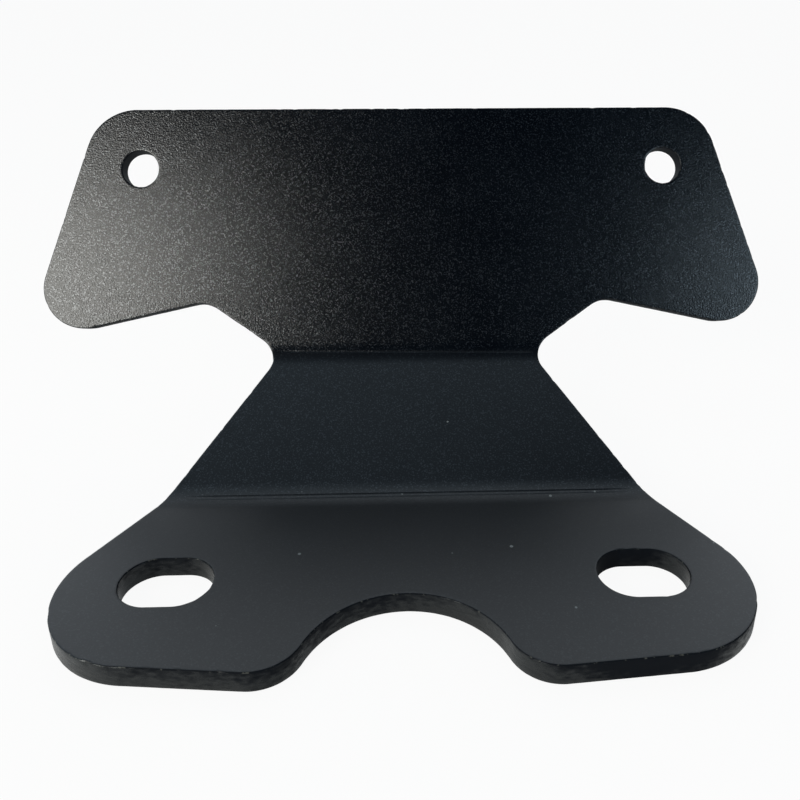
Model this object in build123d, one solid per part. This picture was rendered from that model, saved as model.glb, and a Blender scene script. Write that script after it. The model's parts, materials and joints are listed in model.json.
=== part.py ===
from build123d import *
import os
from math import cos, radians, sin, tan

# Headlight bracket: one blank cut from steel sheet, then folded twice the same way.
# The clamp plate lies flat, the neck rises from it and the lamp plate stands on the neck.
# Millimetres. X runs along the slots, Y away from the notch and Z up.
# The origin is on the underside, halfway between the two slots.
# Lengths along the sheet are measured on its inner face, the one inside both folds.

# Sheet and folds, angles in degrees
thickness = 4.0
lower_fold_angle = 30.0
lower_fold_radius = 12.0
upper_fold_angle = 35.0
upper_fold_radius = 10.0

# Clamp plate: two slots, a notch between them and a front edge that slopes back to each side
slot_spacing = 82.5
slot_length = 16.0
slot_width = 12.0
slots_to_lower_fold = 23.5
slots_to_foot_corner = 16.5
foot_width = 141.0
foot_corner_radius = 17.0
front_edge_slope = 5.0
slots_to_notch_centre = 22.0
notch_radius = 17.75
notch_mouth_radius = 8.5

# Neck: its straight sides run from the foot corners to the waist at the upper fold
neck_length = 34.25
waist_width = 55.5
waist_radius = 5.25

# Lamp plate: a wing on each side and a hole near each upper corner
lamp_plate_height = 54.5
top_width = 135.0
top_corner_radius = 11.5
wing_width = 168.5
wing_tip_height = 2.75
wing_tip_radius = 9.0
underarm_width = 88.0
underarm_height = 11.5
underarm_radius = 7.0
lamp_hole_spacing = 117.0
lamp_hole_height = 41.25
lamp_hole_diameter = 8.0

# Places along the sheet
lower_fold_line = slots_to_lower_fold
upper_fold_line = lower_fold_line + neck_length
top_edge = upper_fold_line + lamp_plate_height


def rounded(sheet, corner, radius):
    """Round one corner of the flat sheet and its twin on the other side."""
    x, y = corner
    twins = [sheet.vertices().sort_by_distance((side * x, y))[0] for side in (-1, 1)]
    return fillet(twins, radius)


def flat_blank():
    """The blank before folding, in the XY plane with the slots on the X axis."""
    foot = (foot_width / 2, -slots_to_foot_corner)
    front = (0, foot[1] - foot[0] * tan(radians(front_edge_slope)))
    waist = (waist_width / 2, upper_fold_line)
    underarm = (underarm_width / 2, upper_fold_line + underarm_height)
    wing_tip = (wing_width / 2, upper_fold_line + wing_tip_height)
    top = (top_width / 2, top_edge)
    right = [foot, waist, underarm, wing_tip, top]
    left = [(-x, y) for x, y in reversed(right)]
    sheet = make_face(Polyline(front, *right, *left, close=True))

    sheet = rounded(sheet, foot, foot_corner_radius)
    sheet = rounded(sheet, waist, waist_radius)
    sheet = rounded(sheet, underarm, underarm_radius)
    sheet = rounded(sheet, wing_tip, wing_tip_radius)
    sheet = rounded(sheet, top, top_corner_radius)

    sheet -= Pos(0, -slots_to_notch_centre) * Circle(notch_radius)
    sheet = rounded(sheet, (notch_radius, front[1]), notch_mouth_radius)

    for side in (-1, 1):
        sheet -= Pos(side * slot_spacing / 2, 0) * SlotOverall(slot_length, slot_width)
        hole = Circle(lamp_hole_diameter / 2)
        sheet -= Pos(side * lamp_hole_spacing / 2, upper_fold_line + lamp_hole_height) * hole
    return sheet


def strip(blank, low, high):
    """The part of the blank between two lines across it, moved so that it starts at Y = 0."""
    band = Pos(0, (low + high) / 2) * Rectangle(2 * wing_width, high - low)
    return Pos(0, -low) * (blank & band)


def half_fold(radius, angle):
    """Half the width of a fold, straight across it on the inner face."""
    return radius * sin(radians(angle) / 2)


def fold_face(blank, line, radius, angle):
    """The strip at one fold line, wrapped onto the fold's inner cylinder from the XY plane up."""
    half = half_fold(radius, angle)
    across = Edge.make_line((-wing_width, 0, 0), (wing_width, 0, 0))
    cylinder = Face.revolve(across, angle, Axis((0, 0, radius), (1, 0, 0)))
    outline = extrude(Rot(angle / 2, 0, 0) * strip(blank, line - half, line + half), radius, both=True)
    return cylinder.intersect(outline).face()


def fold_end(radius, angle):
    """Where a fold that begins on the XY plane hands over to the next flat."""
    rise = radians(angle)
    return Pos(0, radius * sin(rise), radius * (1 - cos(rise))) * Rot(angle, 0, 0)


def folded_skin(blank):
    """The inner face of the folded bracket: three flats joined by two folds."""
    lower = (lower_fold_radius, lower_fold_angle)
    upper = (upper_fold_radius, upper_fold_angle)
    lower_start = lower_fold_line - half_fold(*lower)
    lower_end = lower_fold_line + half_fold(*lower)
    upper_start = upper_fold_line - half_fold(*upper)
    upper_end = upper_fold_line + half_fold(*upper)
    front_edge = blank.bounding_box().min.Y

    clamp_at = Pos(0, front_edge, thickness)
    lower_at = Pos(0, lower_start, thickness)
    neck_at = lower_at * fold_end(*lower)
    upper_at = neck_at * Pos(0, upper_start - lower_end, 0)
    lamp_at = upper_at * fold_end(*upper)

    faces = [
        clamp_at * strip(blank, front_edge, lower_start).face(),
        lower_at * fold_face(blank, lower_fold_line, *lower),
        neck_at * strip(blank, lower_end, upper_start).face(),
        upper_at * fold_face(blank, upper_fold_line, *upper),
        lamp_at * strip(blank, upper_end, top_edge).face(),
    ]
    return Shell(Face.sew_faces(faces)[0])


skin = folded_skin(flat_blank())
bracket_plate = Solid.thicken(skin, -thickness)

os.makedirs("parts", exist_ok=True)
export_step(bracket_plate, "parts/bracket_plate.step")
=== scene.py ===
import json
import math
import bpy
import numpy as np
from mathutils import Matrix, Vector
from mathutils.geometry import delaunay_2d_cdt
from mathutils.kdtree import KDTree


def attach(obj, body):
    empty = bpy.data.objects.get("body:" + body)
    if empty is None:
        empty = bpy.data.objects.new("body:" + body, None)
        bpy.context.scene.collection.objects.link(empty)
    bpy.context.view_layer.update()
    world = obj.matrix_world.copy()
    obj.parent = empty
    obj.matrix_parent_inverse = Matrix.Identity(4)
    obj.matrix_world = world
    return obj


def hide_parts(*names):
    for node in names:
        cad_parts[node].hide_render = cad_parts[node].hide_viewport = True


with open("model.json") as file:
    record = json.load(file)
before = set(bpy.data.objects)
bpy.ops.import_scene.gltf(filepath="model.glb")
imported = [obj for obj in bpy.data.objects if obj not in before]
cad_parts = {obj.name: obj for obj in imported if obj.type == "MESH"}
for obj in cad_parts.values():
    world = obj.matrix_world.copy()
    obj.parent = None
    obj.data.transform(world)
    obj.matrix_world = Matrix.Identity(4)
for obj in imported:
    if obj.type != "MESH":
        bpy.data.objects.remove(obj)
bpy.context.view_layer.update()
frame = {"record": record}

# The blank
# The bracket is one piece of 4 mm steel sheet, laser cut to its outline, slots, holes and notch.
# It is laid out flat here with its inner face up, the slots on the X axis and Y along the sheet.
mm = 0.001
mounts = {mount["name"]: mount["dims"] for mount in frame["record"]["mounts"]}
thickness = mounts["left_lamp_hole"]["length_mm"] * mm
lamp_hole_radius = mounts["left_lamp_hole"]["r_mm"] * mm
slot_spacing = mounts["clamp_slots"]["spacing_x_mm"] * mm
slot_length = mounts["clamp_slots"]["slot_length_mm"] * mm
slot_radius = mounts["clamp_slots"]["hole_r_mm"] * mm
lower_fold_line = 23.5 * mm
upper_fold_line = lower_fold_line + 34.25 * mm
front_slope = math.radians(5.0)
foot_corner = np.array((70.5, -16.5)) * mm
foot_radius = 17.0 * mm
notch_centre = np.array((0.0, -22.0)) * mm
notch_radius = 17.75 * mm
notch_mouth_radius = 8.5 * mm
waist_corner = np.array((27.75 * mm, upper_fold_line))
waist_radius = 5.25 * mm
underarm_corner = np.array((44.0 * mm, upper_fold_line + 11.5 * mm))
underarm_radius = 7.0 * mm
wing_corner = np.array((84.25 * mm, upper_fold_line + 2.75 * mm))
wing_radius = 9.0 * mm
top_corner = np.array((67.5 * mm, upper_fold_line + 54.5 * mm))
top_radius = 11.5 * mm
lamp_hole = np.array((58.5 * mm, upper_fold_line + 41.25 * mm))
cut_step = 0.4 * mm


def heading(vector):
    """The angle of a direction in the sheet."""
    return math.atan2(vector[1], vector[0])


def towards(angle):
    return np.array((math.cos(angle), math.sin(angle)))


def arc(centre, radius, start, sweep):
    """Points along an arc, with both its ends. A positive sweep turns left."""
    count = max(2, math.ceil(radius * abs(sweep) / cut_step))
    angles = start + sweep * np.linspace(0, 1, count + 1)
    return centre + radius * np.column_stack((np.cos(angles), np.sin(angles)))


def rounded_corner(before, corner, after, radius):
    """The arc that rounds a corner between two straight cuts."""
    arriving, leaving = heading(corner - before), heading(after - corner)
    turn = (leaving - arriving + math.pi) % (2 * math.pi) - math.pi
    side = math.copysign(math.pi / 2, turn)
    start = corner - radius * math.tan(abs(turn) / 2) * towards(arriving)
    return arc(start + radius * towards(arriving + side), radius, arriving - side, turn)


def joined(arcs):
    """One closed cut through arcs in order, with straight cuts between them."""
    cut = []
    for here, after in zip(arcs, arcs[1:] + arcs[:1]):
        gap = after[0] - here[-1]
        count = max(1, math.ceil(np.hypot(*gap) / cut_step))
        cut += [here, here[-1] + gap * np.arange(1, count)[:, None] / count]
    cut = np.concatenate(cut)
    moved = np.hypot(*(cut - np.roll(cut, 1, axis=0)).T)
    return cut[moved > cut_step / 100]


def outline():
    """The outer cut: its right half from the notch round to the top edge, and the mirror image."""
    front = np.array((0.0, foot_corner[1] - foot_corner[0] * math.tan(front_slope)))
    along = towards(front_slope)
    mouth_centre = front + notch_mouth_radius * towards(front_slope + math.pi / 2)
    from_notch = mouth_centre - notch_centre
    reach = from_notch @ along
    spread = notch_radius + notch_mouth_radius
    mouth_centre = mouth_centre + along * (math.sqrt(reach**2 - from_notch @ from_notch + spread**2) - reach)
    notch_end = heading(mouth_centre - notch_centre)
    mouth_start = notch_end - math.pi
    middle_top = np.array((0.0, top_corner[1]))
    corners = [front, foot_corner, waist_corner, underarm_corner, wing_corner, top_corner, middle_top]
    radii = [foot_radius, waist_radius, underarm_radius, wing_radius, top_radius]
    right = [
        arc(notch_centre, notch_radius, math.pi / 2, notch_end - math.pi / 2),
        arc(mouth_centre, notch_mouth_radius, mouth_start, front_slope - math.pi / 2 - mouth_start),
    ]
    right += [rounded_corner(*triple) for triple in zip(corners, corners[1:], corners[2:], radii)]
    left = [piece[::-1] * (-1, 1) for piece in reversed(right)]
    return joined(right + left)


def slot(side):
    """A slot, cut clockwise as two half circles joined by straight cuts."""
    centre = np.array((side * slot_spacing / 2, 0.0))
    half = np.array((slot_length / 2 - slot_radius, 0.0))
    right = arc(centre + half, slot_radius, math.pi / 2, -math.pi)
    left = arc(centre - half, slot_radius, -math.pi / 2, -math.pi)
    return joined([right, left])


def hole(side):
    return joined([arc(lamp_hole * (side, 1), lamp_hole_radius, 0, -2 * math.pi)])


cuts = [outline(), slot(-1), slot(1), hole(-1), hole(1)]


# Its cut edges
# The laser leaves a square wall with faint waves, and the coat rounds off both of its rims.
# Small nicks and burrs break the inner rim here and there, under the coat. Those that show are placed in mm.
rim_radius = 0.25 * mm
rim_steps = 4
wall_steps = 5
wave_height = 0.01 * mm
wave_lengths = (19.0 * mm, 8.0 * mm, 3.6 * mm, 2.3 * mm)
nick_spacing = 8.0 * mm
nick_width = (0.25 * mm, 0.6 * mm)
nick_depth = (0.03 * mm, 0.12 * mm)
front_nicks = [(-52.4, -16.6), (-48.8, -18.0), (58.9, -12.6)]
slot_nicks = [(38.5, 6.0), (41.1, 6.0)]
underarm_nicks = [(-35.4, 63.4), (36.6, 64.4)]
seen_nick_depth = 0.3 * mm
bite_height = 3 * rim_radius
edge_seed = np.random.default_rng(4)


def outward(cut):
    """The direction out of the sheet at each point of a cut."""
    along = np.roll(cut, -1, axis=0) - np.roll(cut, 1, axis=0)
    along /= np.hypot(*along.T)[:, None]
    return np.column_stack((along[:, 1], -along[:, 0]))


def edge_rows():
    """How far in from the wall, and how high, each row of points down an edge lies."""
    bends = np.linspace(0, math.pi / 2, rim_steps + 1)
    rim = [(1 - math.sin(bend), 1 - math.cos(bend)) for bend in bends]
    rim = [(rim_radius * inset, thickness - rim_radius * drop) for inset, drop in rim]
    wall = [(0.0, height) for height in np.linspace(thickness - rim_radius, rim_radius, wall_steps + 1)[1:-1]]
    return rim + wall + [(inset, thickness - height) for inset, height in reversed(rim)]


def nicks(cut):
    """How deep the inner rim is nicked at each point of a cut."""
    step = np.hypot(*(np.roll(cut, -1, axis=0) - cut).T)
    length = step.sum()
    place = np.cumsum(step) - step
    depth = np.zeros(len(cut))
    for _ in range(round(length / nick_spacing)):
        off = (place - edge_seed.uniform(0, length)) / edge_seed.uniform(*nick_width)
        depth = np.maximum(depth, edge_seed.uniform(*nick_depth) * np.exp(-(off**2)))
    for seen in front_nicks + slot_nicks + underarm_nicks:
        off = np.hypot(*(cut - np.array(seen) * mm).T) / nick_width[1]
        depth = np.maximum(depth, seen_nick_depth * np.exp(-(off**2)))
    return depth


def waves(cut):
    """How far the wall stands back at each point of a cut."""
    turn = np.linspace(0, 2 * math.pi, len(cut), endpoint=False)
    total = np.zeros(len(cut))
    for wave_length in wave_lengths:
        count = max(2, round(len(cut) * cut_step / wave_length))
        total += 0.5 + 0.5 * np.sin(count * turn + edge_seed.uniform(0, 2 * math.pi))
    return wave_height * total


def edge(cut):
    """The rows of points down one cut edge, as an array of rows."""
    out, nick, wave = outward(cut), nicks(cut), waves(cut)
    rows = []
    for inset, height in edge_rows():
        share = 1 - inset / rim_radius
        bite = nick * share * max(0.0, 1 - (thickness - height) / bite_height)
        place = cut - out * (inset + bite + wave * share)[:, None]
        rows.append(np.column_stack((place, height - bite)))
    return np.array(rows)


# Its broad faces
# Both faces are filled with points out to the rims, closer together where the sheet will fold.
# The fold tool left a pair of fine lines along the lower fold and a crease along the upper one, given in mm.
face_step = 1.6 * mm
fold_step = 0.5 * mm
support_inset = 0.3 * mm
lower_fold_radius = 12.0 * mm
lower_fold_angle = math.radians(30.0)
upper_fold_radius = 10.0 * mm
upper_fold_angle = math.radians(35.0)
line_step = 0.6 * mm
line_rows = (-0.9, -0.5, 0, 0.5, 0.9)
line_press = 0.85
line_ripple = 0.15
ripple_length = 2.9 * mm
drift_length = 5.3 * mm
tool_lines = [
    {"left": (-43.5, 23.80), "right": (45.0, 23.84), "width": 0.26, "depth": 0.22, "fade": 5.0},
    {"left": (-43.5, 22.90), "right": (44.5, 23.10), "width": 0.20, "depth": 0.10, "fade": 4.0},
    {"left": (-28.4, 58.08), "right": (28.4, 57.24), "width": 0.26, "depth": 0.14, "fade": 1.0},
]


def inside(points, cut):
    """Which points lie within a closed cut, by counting the sides crossed on the way out."""
    x, y = points.T
    odd = np.zeros(len(points), bool)
    for (x0, y0), (x1, y1) in zip(cut, np.roll(cut, -1, axis=0)):
        if y0 != y1:
            odd ^= ((y0 > y) != (y1 > y)) & (x < x0 + (y - y0) * (x1 - x0) / (y1 - y0))
    return odd


def on_sheet(points, rims):
    """Which points lie within the outer rim and in no slot or hole."""
    keep = inside(points, rims[0])
    for rim in rims[1:]:
        keep &= ~inside(points, rim)
    return keep


def clear_of(points, others, distance):
    """The points that lie further than a distance from all the others."""
    tree = KDTree(len(others))
    for number, (x, y) in enumerate(others):
        tree.insert((x, y, 0), number)
    tree.balance()
    return points[[tree.find((x, y, 0))[2] > distance for x, y in points]]


def rows_up_the_sheet():
    """How far up the sheet each row of points lies, and its step."""
    stops = [cuts[0][:, 1].min()]
    folds = [(lower_fold_line, lower_fold_radius, lower_fold_angle)]
    folds.append((upper_fold_line, upper_fold_radius, upper_fold_angle))
    for line, radius, angle in folds:
        half = radius * math.sin(angle / 2)
        stops += [line - half, line + half]
    stops.append(top_corner[1])
    steps = [face_step, fold_step, face_step, fold_step, face_step]
    for low, high, step in zip(stops, stops[1:], steps):
        for along in np.linspace(low, high, math.ceil((high - low) / step), endpoint=False):
            yield along, step


def tool_line(line, aside):
    """Points along a tool line, moved aside across it by a share of its width."""
    left, right = np.array(line["left"]) * mm, np.array(line["right"]) * mm
    share = np.linspace(0, 1, math.ceil((right - left)[0] / line_step))[:, None]
    return left + (right - left) * share + (0, aside * line["width"] * mm)


def line_depth(points):
    """How deep the tool lines are pressed in at each point of the inner face."""
    depth = np.zeros(len(points))
    for line in tool_lines:
        left, right = np.array(line["left"]) * mm, np.array(line["right"]) * mm
        middle = left[1] + (points[:, 0] - left[0]) * (right - left)[1] / (right - left)[0]
        off = np.abs(points[:, 1] - middle) / (line["width"] * mm / 2)
        end = np.minimum(points[:, 0] - left[0], right[0] - points[:, 0]) / (line["fade"] * mm)
        drift = 2 * np.sin(points[:, 0] / drift_length)
        uneven = line_press + line_ripple * np.sin(points[:, 0] / ripple_length + drift)
        pressed = line["depth"] * mm * np.clip(1 - off, 0, 1) * np.clip(end, 0, 1) * uneven
        depth = np.maximum(depth, pressed)
    return depth


def face_points(rims):
    """The points that fill a broad face: rows of tool line points, and the loose ones."""
    lines = [tool_line(line, aside) for line in tool_lines for aside in line_rows]
    on_lines = np.concatenate(lines)
    support = np.concatenate([rim - outward(rim) * support_inset for rim in rims])
    grid = []
    for along, step in rows_up_the_sheet():
        across = np.arange(-wing_corner[0], wing_corner[0], step)
        grid.append(np.column_stack((across, np.full(len(across), along))))
    grid = np.concatenate(grid)
    grid = grid[on_sheet(grid, rims)]
    grid = clear_of(grid, np.concatenate((support, on_lines)), support_inset)
    grid = clear_of(grid, np.concatenate(rims), 2 * support_inset)
    support = clear_of(support, on_lines, support_inset / 2)
    return lines, np.concatenate((support, grid))


def triangles(rims):
    """A broad face as flat points, triangles, and the number of each point in the rims or -1."""
    lines, loose = face_points(rims)
    points = np.concatenate(rims + lines + [loose]) / mm
    on_rim = sum(map(len, rims))
    sides = []
    start = 0
    for row in rims + lines:
        count = len(row)
        sides += [(start + k, start + k + 1) for k in range(count - 1)]
        if start < on_rim:
            sides.append((start + count - 1, start))
        start += count
    found, _, faces, sources, _, _ = delaunay_2d_cdt([Vector(p) for p in points], sides, [], 0, 1e-6)
    found = np.array([tuple(point) for point in found]) * mm
    faces = np.array([tuple(face) for face in faces])
    numbers = np.array([source[0] if source and source[0] < on_rim else -1 for source in sources])
    found_rims = np.empty((on_rim, 2))
    found_rims[numbers[numbers >= 0]] = found[numbers >= 0]
    found_rims = np.split(found_rims, np.cumsum([len(rim) for rim in rims])[:-1])
    faces = faces[on_sheet(found[faces].mean(axis=1), found_rims)]
    return found, faces, numbers


def flat_sheet():
    """The cut blank as one closed mesh, whose points keep their place on it and their share of cut wall."""
    edges = [edge(cut) for cut in cuts]
    points, faces, walls, rim_numbers = [], [], [], {0: [], -1: []}
    total = 0
    for rows in edges:
        levels, count = rows.shape[:2]
        number = total + np.arange(levels * count).reshape(levels, count)
        after = np.roll(number, -1, axis=1)
        corners = (number[:-1], number[1:], after[1:], after[:-1])
        faces += np.stack(corners, axis=-1).reshape(-1, 4).tolist()
        for level in rim_numbers:
            rim_numbers[level].append(number[level])
        points.append(rows.reshape(-1, 3))
        walls.append(np.repeat([1 - inset / rim_radius for inset, _ in edge_rows()], count))
        total += levels * count
    found, flat_faces, numbers = triangles([rows[0, :, :2] for rows in edges])
    inner = np.column_stack((found, thickness - line_depth(found)))
    outer = np.column_stack((found, np.zeros(len(found))))
    for level, face, order in ((0, inner, (0, 1, 2)), (-1, outer, (0, 2, 1))):
        rim = np.concatenate(rim_numbers[level])
        fresh = numbers < 0
        number = np.where(fresh, total + np.cumsum(fresh) - 1, rim[numbers])
        faces += number[flat_faces][:, order].tolist()
        points.append(face[fresh])
        walls.append(np.zeros(fresh.sum()))
        total += fresh.sum()
    points = np.concatenate(points)
    mesh = bpy.data.meshes.new("bracket_plate_coated")
    mesh.from_pydata(points.tolist(), [], faces)
    place = mesh.attributes.new("blank", "FLOAT_VECTOR", "POINT")
    place.data.foreach_set("vector", points.astype(np.float32).ravel())
    wall = mesh.attributes.new("cut_wall", "FLOAT", "POINT")
    wall.data.foreach_set("value", np.concatenate(walls).astype(np.float32))
    mesh.shade_smooth()
    return mesh


# The powder coat
# Black powder, sprayed on dry and baked, covers the whole bracket with a fine satin grain.
# It lies thick and grainy on the lamp plate, and smoother on the neck and the clamp plate.
# A pair of limits says where a share starts to rise from 0 and where it reaches 1.
coat_colour = (0.0004, 0.0008, 0.0014, 1.0)
coat_colour_worn = (0.0012, 0.0019, 0.0028, 1.0)
coat_roughness = {"clamp": 0.38, "neck": 0.28, "lamp_plate": 0.17}
off_clamp_limits = (lower_fold_line - 3 * mm, lower_fold_line + 3 * mm)
lamp_plate_limits = (upper_fold_line - 0.8 * mm, upper_fold_line + 1.2 * mm)
worn_patches = {"per_metre": 45.0, "detail": 4.0}
worn_limits = (0.35, 0.7)
worn_roughness = 0.04
grain = {"per_metre": 3000.0, "detail": 1.0}
grain_height = 0.045 * mm
grain_share = {"clamp": 0.12, "neck": 0.38, "lamp_plate": 1.0}
flecks = {"per_metre": 3400.0, "detail": 1.0}
fleck_colour = (0.75, 0.79, 0.83, 1.0)
fleck_roughness = 0.30
fleck_limits = (0.52, 0.74)
fleck_share = {"clamp": 0.0126, "neck": 0.054, "lamp_plate": 0.09}
dust_per_metre = 105.0
dust_colour = (0.13, 0.14, 0.14, 1.0)
dust_roughness = 0.4
dust_rarity = 5.0
dust_size = 0.035
dust_limits = (0.0, 0.004)


class Wire:
    """A node's output. Arithmetic on it adds the Math nodes that work the result out."""

    def __init__(self, tree, socket=None):
        self.tree = tree
        self.socket = socket

    def make(self, kind, settings, inputs, output=0):
        """Adds a node of any kind to the tree and returns one of its outputs."""
        node = self.tree.nodes.new(kind)
        for name, value in settings.items():
            setattr(node, name, value)
        for name, value in inputs.items():
            if isinstance(value, Wire):
                self.tree.links.new(value.socket, node.inputs[name])
            else:
                node.inputs[name].default_value = value
        return Wire(self.tree, node.outputs[output] if node.outputs else None)

    def beside(self, name):
        """Another output of the node that this one comes from."""
        return Wire(self.tree, self.socket.node.outputs[name])

    def math(self, operation, *others):
        return self.make("ShaderNodeMath", {"operation": operation}, dict(enumerate((self, *others))))

    def ramp(self, low, high):
        """0 below one value, 1 above another and smooth between them."""
        limits = {"From Min": low, "From Max": high, "Value": self}
        return self.make("ShaderNodeMapRange", {"interpolation_type": "SMOOTHSTEP"}, limits)

    def blend(self, low, high):
        """A colour between two, by this share."""
        return self.make("ShaderNodeMix", {"data_type": "RGBA"}, {0: self, 6: low, 7: high}, 2)

    def noise(self, per_metre, detail):
        """Noise from 0 to 1 at this place, with so many cells to the metre."""
        return self.make("ShaderNodeTexNoise", {}, {"Vector": self, "Scale": per_metre, "Detail": detail})

    def __add__(self, other):
        return self.math("ADD", other)

    def __sub__(self, other):
        return self.math("SUBTRACT", other)

    def __rsub__(self, other):
        return self.make("ShaderNodeMath", {"operation": "SUBTRACT"}, {0: other, 1: self})

    def __mul__(self, other):
        return self.math("MULTIPLY", other)

    def __truediv__(self, other):
        return self.math("DIVIDE", other)

    __radd__ = __add__
    __rmul__ = __mul__


def coated_face(place):
    """The coat on the broad faces: sparkling on the lamp plate, duller elsewhere, with specks of dust."""
    up_sheet = place.make("ShaderNodeSeparateXYZ", {}, {"Vector": place}, "Y")
    off_clamp = up_sheet.ramp(*off_clamp_limits)
    on_lamp_plate = up_sheet.ramp(*lamp_plate_limits)

    def by_part(clamp, neck, lamp_plate):
        """A value that changes at each fold."""
        return clamp + off_clamp * (neck - clamp) + on_lamp_plate * (lamp_plate - neck)

    worn = place.noise(**worn_patches)
    colour = worn.ramp(*worn_limits).blend(coat_colour, coat_colour_worn)
    flat = {"voronoi_dimensions": "2D"}
    cell = place.make("ShaderNodeTexVoronoi", flat, {"Vector": place, "Scale": dust_per_metre}, "Distance")
    chance = cell.make("ShaderNodeSeparateColor", {}, {"Color": cell.beside("Color")})
    dust = (chance.math("POWER", dust_rarity) * dust_size - cell).ramp(*dust_limits) * (1 - on_lamp_plate)
    height = place.noise(**grain) * by_part(**grain_share)
    bump = place.make("ShaderNodeBump", {}, {"Distance": grain_height, "Height": height})
    satin = {
        "Base Color": dust.blend(colour, dust_colour),
        "Roughness": by_part(**coat_roughness) + worn * worn_roughness + dust * dust_roughness,
        "Normal": bump,
    }
    bright = {"Base Color": fleck_colour, "Metallic": 1.0, "Roughness": fleck_roughness, "Normal": bump}
    share = place.noise(**flecks).ramp(*fleck_limits) * by_part(**fleck_share)
    shaders = [place.make("ShaderNodeBsdfPrincipled", {}, surface) for surface in (satin, bright)]
    return place.make("ShaderNodeMixShader", {}, {0: share, 1: shaders[0], 2: shaders[1]})


# The coat on the cut walls
# Little powder reaches the square laser-cut walls, so it lies thin there, and satin where it covers.
# Burns under it have pitted it dull, most of all high up and on the lamp plate, and it is darker and duller
# towards the right. The dull dark finish is also painted shade by facing: less of it on walls that face the
# bright window on the left, more on walls that face right, and at the foot ends it is held back as a painted
# sheen.
# Pale ticks along the rim are painted glints, standing in for light caught by the rough rim.
wall_limits = (0.2, 0.6)
wall_colour = (0.005, 0.005, 0.005, 1.0)
wall_tint = (0.92, 0.98, 1.0, 1.0)
wall_roughness = 0.20
rim_limits = (0.93, 0.98)
foot_end_limits = (foot_corner[0] - 28 * mm, foot_corner[0] - 17 * mm)
right_limits = (slot_spacing / 2 - 16 * mm, slot_spacing / 2 - 7 * mm)
lamp_plate_wall_limits = (upper_fold_line, upper_fold_line + 1 * mm)
blotches = {"per_metre": 650.0, "detail": 5.0}
blotch_squeeze = (1.0, 1.0, 2.2)
blotch_roughness = 0.15
# The colour of the dull dark finish, for burnt pits and for painted shade.
pit_and_shade_colour = (0.0006, 0.0016, 0.0036, 1.0)
pit_roughness = 0.7
pit_gloss = 0.12
pit_depth = 0.3
burn_and_shade_limits = (0.32, 0.86)
burn_by_blotch = 0.8
burn_by_height = 0.33
burn_at_rim = 0.2
darker_on_right = 0.3
painted_sheen_at_foot_end = -0.4
painted_shade_by_facing = 0.4
most_facing_right = 0.2
rim_glints = {"per_metre": 1300.0, "detail": 2.0}
glint_colour = (0.060, 0.060, 0.052, 1.0)
glint_limits = (0.58, 0.66)


def coated_wall(place):
    """The thin coat on the cut walls: satin where it covers, dull and dark where burns have pitted it and
    where shade is painted, with painted glints on the rim.
    """
    across = place.make("ShaderNodeSeparateXYZ", {}, {"Vector": place}, "X")
    up_wall = across.beside("Z") / thickness
    rim = up_wall.ramp(*rim_limits)
    at_foot_end = across.math("ABSOLUTE").ramp(*foot_end_limits)
    on_right = across.ramp(*right_limits)
    on_lamp_plate = across.beside("Y").ramp(*lamp_plate_wall_limits)
    normal = place.make("ShaderNodeNewGeometry", {}, {}, "Normal")
    # How far each wall faces right, which sets the painted shade on the walls.
    facing_right = place.make("ShaderNodeSeparateXYZ", {}, {"Vector": normal}, "X")
    squeezed = place.make("ShaderNodeVectorMath", {"operation": "MULTIPLY"}, {0: place, 1: blotch_squeeze})
    blotch = squeezed.noise(**blotches)
    # The term on the right makes the walls darker and duller towards the right.
    burn_and_shade = blotch * burn_by_blotch + up_wall * burn_by_height + rim * burn_at_rim + on_right * darker_on_right
    # At the foot ends the dull dark finish is held back, a painted sheen where light falls on those walls.
    burn_and_shade += at_foot_end * painted_sheen_at_foot_end + on_lamp_plate
    # Less of the dull dark finish on walls facing left towards the bright window, more on walls facing right:
    # painted shade.
    burn_and_shade += facing_right.math("MINIMUM", most_facing_right) * painted_shade_by_facing
    pitted_and_shaded = burn_and_shade.ramp(*burn_and_shade_limits)
    # Pale painted glints along the rim, where the rough rim would catch the light.
    glint = place.noise(**rim_glints).ramp(*glint_limits) * rim
    height = blotch - pitted_and_shaded * pit_depth
    satin = {
        "Base Color": glint.blend(wall_colour, glint_colour),
        "Roughness": wall_roughness + blotch * blotch_roughness,
        "Specular Tint": wall_tint,
        "Normal": place.make("ShaderNodeBump", {}, {"Distance": 2 * grain_height, "Height": height}),
    }
    # The dull dark finish, for burnt pits and for painted shade.
    burnt_and_shaded = {
        "Base Color": glint.blend(pit_and_shade_colour, glint_colour),
        "Roughness": pit_roughness,
        "Specular IOR Level": pit_gloss,
    }
    shaders = [place.make("ShaderNodeBsdfPrincipled", {}, surface) for surface in (satin, burnt_and_shaded)]
    return place.make("ShaderNodeMixShader", {}, {0: pitted_and_shaded, 1: shaders[0], 2: shaders[1]})


def powder_coat():
    material = bpy.data.materials.new("black_powder_coat")
    material.use_nodes = True
    material.node_tree.nodes.clear()
    start = Wire(material.node_tree)
    place = start.make("ShaderNodeAttribute", {"attribute_name": "blank"}, {}, "Vector")
    wall = start.make("ShaderNodeAttribute", {"attribute_name": "cut_wall"}, {}, "Fac").ramp(*wall_limits)
    both = start.make("ShaderNodeMixShader", {}, {0: wall, 1: coated_face(place), 2: coated_wall(place)})
    start.make("ShaderNodeOutputMaterial", {}, {"Surface": both})
    return material


# The folds
# A press pushes the sheet into two round-bottomed bends, and the coat goes on afterwards.
# What lies beyond a fold's line turns with it, and what lies on the line wraps round its axis.


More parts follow.
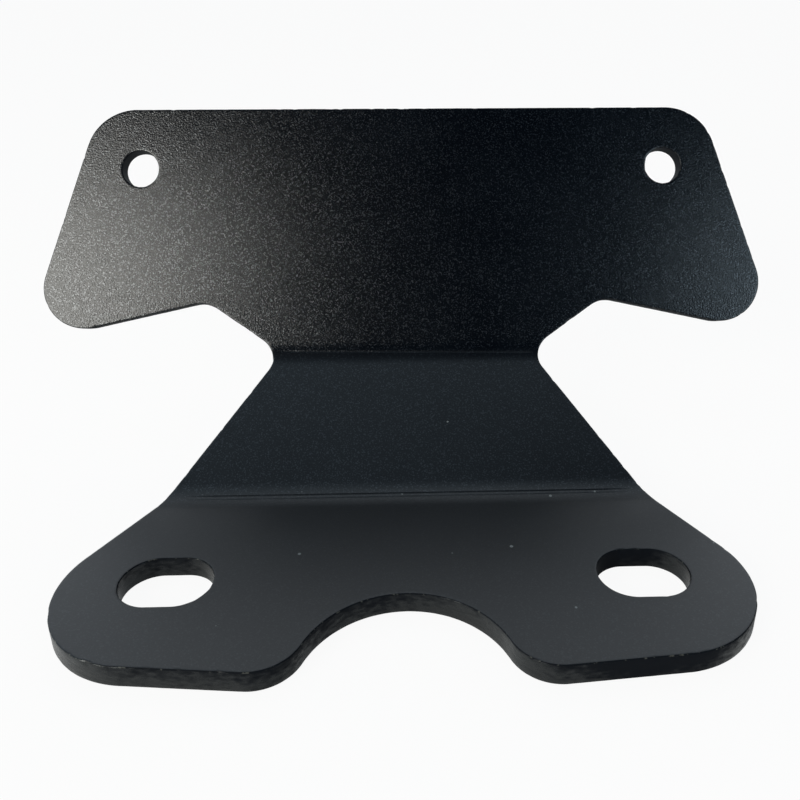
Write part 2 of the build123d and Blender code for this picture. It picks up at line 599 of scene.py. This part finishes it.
def tree_with(name, inputs):
    """A geometry node tree with a sheet going in and out, and its sizes by name."""
    tree = bpy.data.node_groups.new(name, "GeometryNodeTree")
    tree.interface.new_socket("Sheet", in_out="INPUT", socket_type="NodeSocketGeometry")
    for size in inputs:
        tree.interface.new_socket(size, in_out="INPUT", socket_type="NodeSocketFloat")
    tree.interface.new_socket("Sheet", in_out="OUTPUT", socket_type="NodeSocketGeometry")
    return tree, Wire(tree).make("NodeGroupInput", {}, {}, "Sheet")


def one_fold():
    """A group that turns up what lies beyond a line across the sheet, about an axis above it."""
    tree, sheet = tree_with("one_fold", ["Line", "Radius", "Angle", "Thickness"])
    line, radius, angle = (sheet.beside(name) for name in ("Line", "Radius", "Angle"))
    position = sheet.make("GeometryNodeInputPosition", {}, {})
    across = sheet.make("ShaderNodeSeparateXYZ", {}, {"Vector": position}, "X")
    along, height = across.beside("Y"), across.beside("Z")
    half = radius * (angle / 2).math("SINE")
    over = (along - line).math("MINIMUM", half).math("MAXIMUM", half * -1)
    turn = angle / 2 + (over / radius).math("ARCSINE")
    axis_along, axis_height = line - half, sheet.beside("Thickness") + radius
    out, up = along - over - half - axis_along, height - axis_height
    place = {
        "X": across,
        "Y": axis_along + out * turn.math("COSINE") - up * turn.math("SINE"),
        "Z": axis_height + out * turn.math("SINE") + up * turn.math("COSINE"),
    }
    folded = {"Geometry": sheet, "Position": sheet.make("ShaderNodeCombineXYZ", {}, place)}
    sheet.make("NodeGroupOutput", {}, {"Sheet": sheet.make("GeometryNodeSetPosition", {}, folded)})
    return tree


def press(coat):
    """The whole press work: the upper fold, then the lower one, then the coat."""
    sizes = ["Upper line", "Upper radius", "Upper angle", "Lower line", "Lower radius", "Lower angle"]
    tree, sheet = tree_with("press", sizes + ["Thickness"])
    given, fold = sheet, one_fold()
    for which in ("Upper", "Lower"):
        inputs = {name.title(): given.beside(f"{which} {name}") for name in ("line", "radius", "angle")}
        inputs.update({"Sheet": sheet, "Thickness": given.beside("Thickness")})
        sheet = sheet.make("GeometryNodeGroup", {"node_tree": fold}, inputs)
    sheet = sheet.make("GeometryNodeRealizeInstances", {}, {"Geometry": sheet})
    sheet = sheet.make("GeometryNodeSetMaterial", {}, {"Geometry": sheet, "Material": coat})
    sheet.make("NodeGroupOutput", {}, {"Sheet": sheet})
    return tree


bracket = bpy.data.objects.new("bracket_plate_coated", flat_sheet())
bpy.context.scene.collection.objects.link(bracket)
folding = bracket.modifiers.new("press", "NODES")
folding.node_group = press(powder_coat())
fold_sizes = {
    "Upper line": upper_fold_line,
    "Upper radius": upper_fold_radius,
    "Upper angle": upper_fold_angle,
    "Lower line": lower_fold_line,
    "Lower radius": lower_fold_radius,
    "Lower angle": lower_fold_angle,
    "Thickness": thickness,
}
for socket in folding.node_group.interface.items_tree:
    if socket.name in fold_sizes:
        folding[socket.identifier] = fold_sizes[socket.name]
graph = bpy.context.evaluated_depsgraph_get()
pressed = bracket.evaluated_get(graph)
bracket.data = bpy.data.meshes.new_from_object(pressed, preserve_all_data_layers=True, depsgraph=graph)
bracket.modifiers.clear()
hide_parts("bracket_plate")
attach(bracket, "root")


# The floor
# A white sheet that the bracket lies on. It looks plain white all round and keeps a soft shadow.
floor_half = 3.0
floor_drop = 0.2 * mm
floor_glow = 0.93
floor_glow_unseen = 0.28
floor_colour = (0.80, 0.78, 0.74, 1.0)
white = (1.0, 1.0, 1.0, 1.0)


def white_floor():
    material = bpy.data.materials.new("white_floor")
    material.use_nodes = True
    material.node_tree.nodes.clear()
    start = Wire(material.node_tree)
    seen = start.make("ShaderNodeLightPath", {}, {}, "Is Camera Ray")
    paper = start.make("ShaderNodeBsdfDiffuse", {}, {"Color": floor_colour})
    glow = start.make("ShaderNodeEmission", {}, {"Color": white})
    share = floor_glow_unseen + seen * (floor_glow - floor_glow_unseen)
    mixed = start.make("ShaderNodeMixShader", {}, {0: share, 1: paper, 2: glow})
    start.make("ShaderNodeOutputMaterial", {}, {"Surface": mixed})
    return material


floor_mesh = bpy.data.meshes.new("floor")
floor_corners = [(x * floor_half, y * floor_half, -floor_drop) for x, y in ((-1, -1), (1, -1))]
floor_corners += [(-x, -y, z) for x, y, z in floor_corners]
floor_mesh.from_pydata(floor_corners, [], [(0, 1, 2, 3)])
floor_mesh.materials.append(white_floor())
floor = bpy.data.objects.new("floor", floor_mesh)
bpy.context.scene.collection.objects.link(floor)


# The light
# A bright window low on the left behind the viewer, a dim blue one on the right, and a pale room beyond.
lights = [
    {"name": "window_left", "turn": -42, "rise": 21, "far": 0.9, "size": (0.58, 0.57), "watts": 7.5,
     "colour": (1.0, 0.99, 0.93)},
    {"name": "window_right", "turn": 43, "rise": 19, "far": 0.9, "size": (0.40, 0.50), "watts": 1.6,
     "colour": (0.70, 0.88, 1.0)},
]
room_behind = (0.002, 0.015, 0.04, 1.0)
room_above = (0.49, 0.62, 0.73, 1.0)
room_beyond = (1.31, 1.41, 1.51, 1.0)
room_lean = 0.3
above_limits = (-0.35, 0.3)
beyond_limits = (0.15, 0.85)


def hang_light(name, turn, rise, far, size, watts, colour):
    """A soft panel that faces the bracket, turned about it from the viewer's side and raised."""
    lamp = bpy.data.lights.new(name, "AREA")
    lamp.shape = "RECTANGLE"
    lamp.size, lamp.size_y = size
    lamp.energy = watts
    lamp.color = colour
    turn, rise = math.radians(turn), math.radians(rise)
    away = Vector((math.sin(turn) * math.cos(rise), -math.cos(turn) * math.cos(rise), math.sin(rise)))
    panel = bpy.data.objects.new(name, lamp)
    panel.location = far * away
    panel.rotation_euler = away.to_track_quat("Z", "Y").to_euler()
    panel.visible_camera = False
    bpy.context.scene.collection.objects.link(panel)


def room():
    """A room that is plain white to the viewer, and otherwise brighter overhead and beyond the bracket."""
    world = bpy.data.worlds.new("room")
    world.use_nodes = True
    world.node_tree.nodes.clear()
    start = Wire(world.node_tree)
    seen = start.make("ShaderNodeLightPath", {}, {}, "Is Camera Ray")
    direction = start.make("ShaderNodeTexCoord", {}, {}, "Generated")
    beyond = start.make("ShaderNodeSeparateXYZ", {}, {"Vector": direction}, "Y")
    above = (beyond - beyond.beside("X") * room_lean).ramp(*above_limits).blend(room_behind, room_above)
    walls = beyond.ramp(*beyond_limits).blend(above, room_beyond)
    glow = start.make("ShaderNodeBackground", {}, {"Color": seen.blend(walls, white)})
    start.make("ShaderNodeOutputWorld", {}, {"Surface": glow})
    return world


for light in lights:
    hang_light(**light)
bpy.context.scene.world = room()
bpy.context.scene.view_settings.view_transform = "Standard"


# The camera
# It stands close in front of the notch and a little above, looking down into both folds.
picture = 800
focal_pixels = 839.95
middle_pixel = (435.85, 319.59)
sensor = 36.0
camera_place = Vector((1.63, -115.33, 102.96)) * mm
camera_turn = math.radians(1.71)
camera_fall = math.radians(23.65)

view = bpy.data.cameras.new("camera")
view.sensor_width = sensor
view.lens = focal_pixels / picture * sensor
view.shift_x = 0.5 - middle_pixel[0] / picture
view.shift_y = middle_pixel[1] / picture - 0.5
view.clip_start = 10 * mm
camera = bpy.data.objects.new("camera", view)
camera.location = camera_place
camera.rotation_euler = (math.pi / 2 - camera_fall, 0, -camera_turn)
bpy.context.scene.collection.objects.link(camera)
bpy.context.scene.camera = camera
